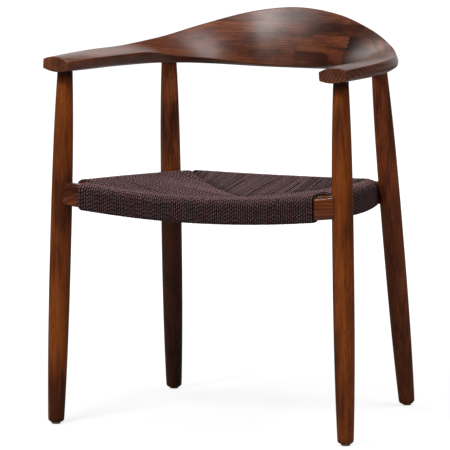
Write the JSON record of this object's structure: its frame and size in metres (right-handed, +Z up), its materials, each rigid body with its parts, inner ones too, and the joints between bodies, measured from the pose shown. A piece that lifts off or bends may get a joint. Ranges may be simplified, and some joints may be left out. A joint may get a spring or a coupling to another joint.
{
  "type": "dining armchair",
  "caption": "Dining armchair with a sculpted arm and back rail glued up from boards, four turned legs, a seat frame and a woven cord seat.",
  "frame": {"origin": "middle of the outline seen from above, at the floor under the glides", "axes": "+Z up; +X to the right of someone who faces the chair's front; the seat faces -Y, so the backrest is at +Y"},
  "size_m": [0.6178, 0.5267, 0.7604],
  "materials": {
    "arm_wood": "dark walnut stain under satin lacquer",
    "back_wood": "dark walnut stain under satin lacquer, a darker board",
    "leg_wood": "orange-brown stained wood under satin lacquer",
    "rail_wood": "reddish-brown stained wood under satin lacquer",
    "cord": "two-ply twisted cord, dark brown",
    "card": "plain grey board",
    "glide": "matt beige plastic",
    "nail": "plain steel"
  },
  "bodies": {
    "root": {"arm_left": "arm_wood", "arm_right": "arm_wood", "back_board_middle": "back_wood", "back_board_top": "arm_wood", "front_leg_left": "leg_wood", "front_leg_right": "leg_wood", "rear_leg_left": "leg_wood", "rear_leg_right": "leg_wood", "front_rail": "rail_wood", "rear_rail": "rail_wood", "side_rail_left": "rail_wood", "side_rail_right": "rail_wood", "weave_front": "cord", "weave_rear": "cord", "weave_left": "cord", "weave_right": "cord", "card_front": "card", "card_rear": "card", "card_left": "card", "card_right": "card", "glide_front_left": "glide", "glide_front_right": "glide", "glide_rear_left": "glide", "glide_rear_right": "glide", "nail_front_left": "nail", "nail_front_right": "nail", "nail_rear_left": "nail", "nail_rear_right": "nail"}
  },
  "joints": []
}
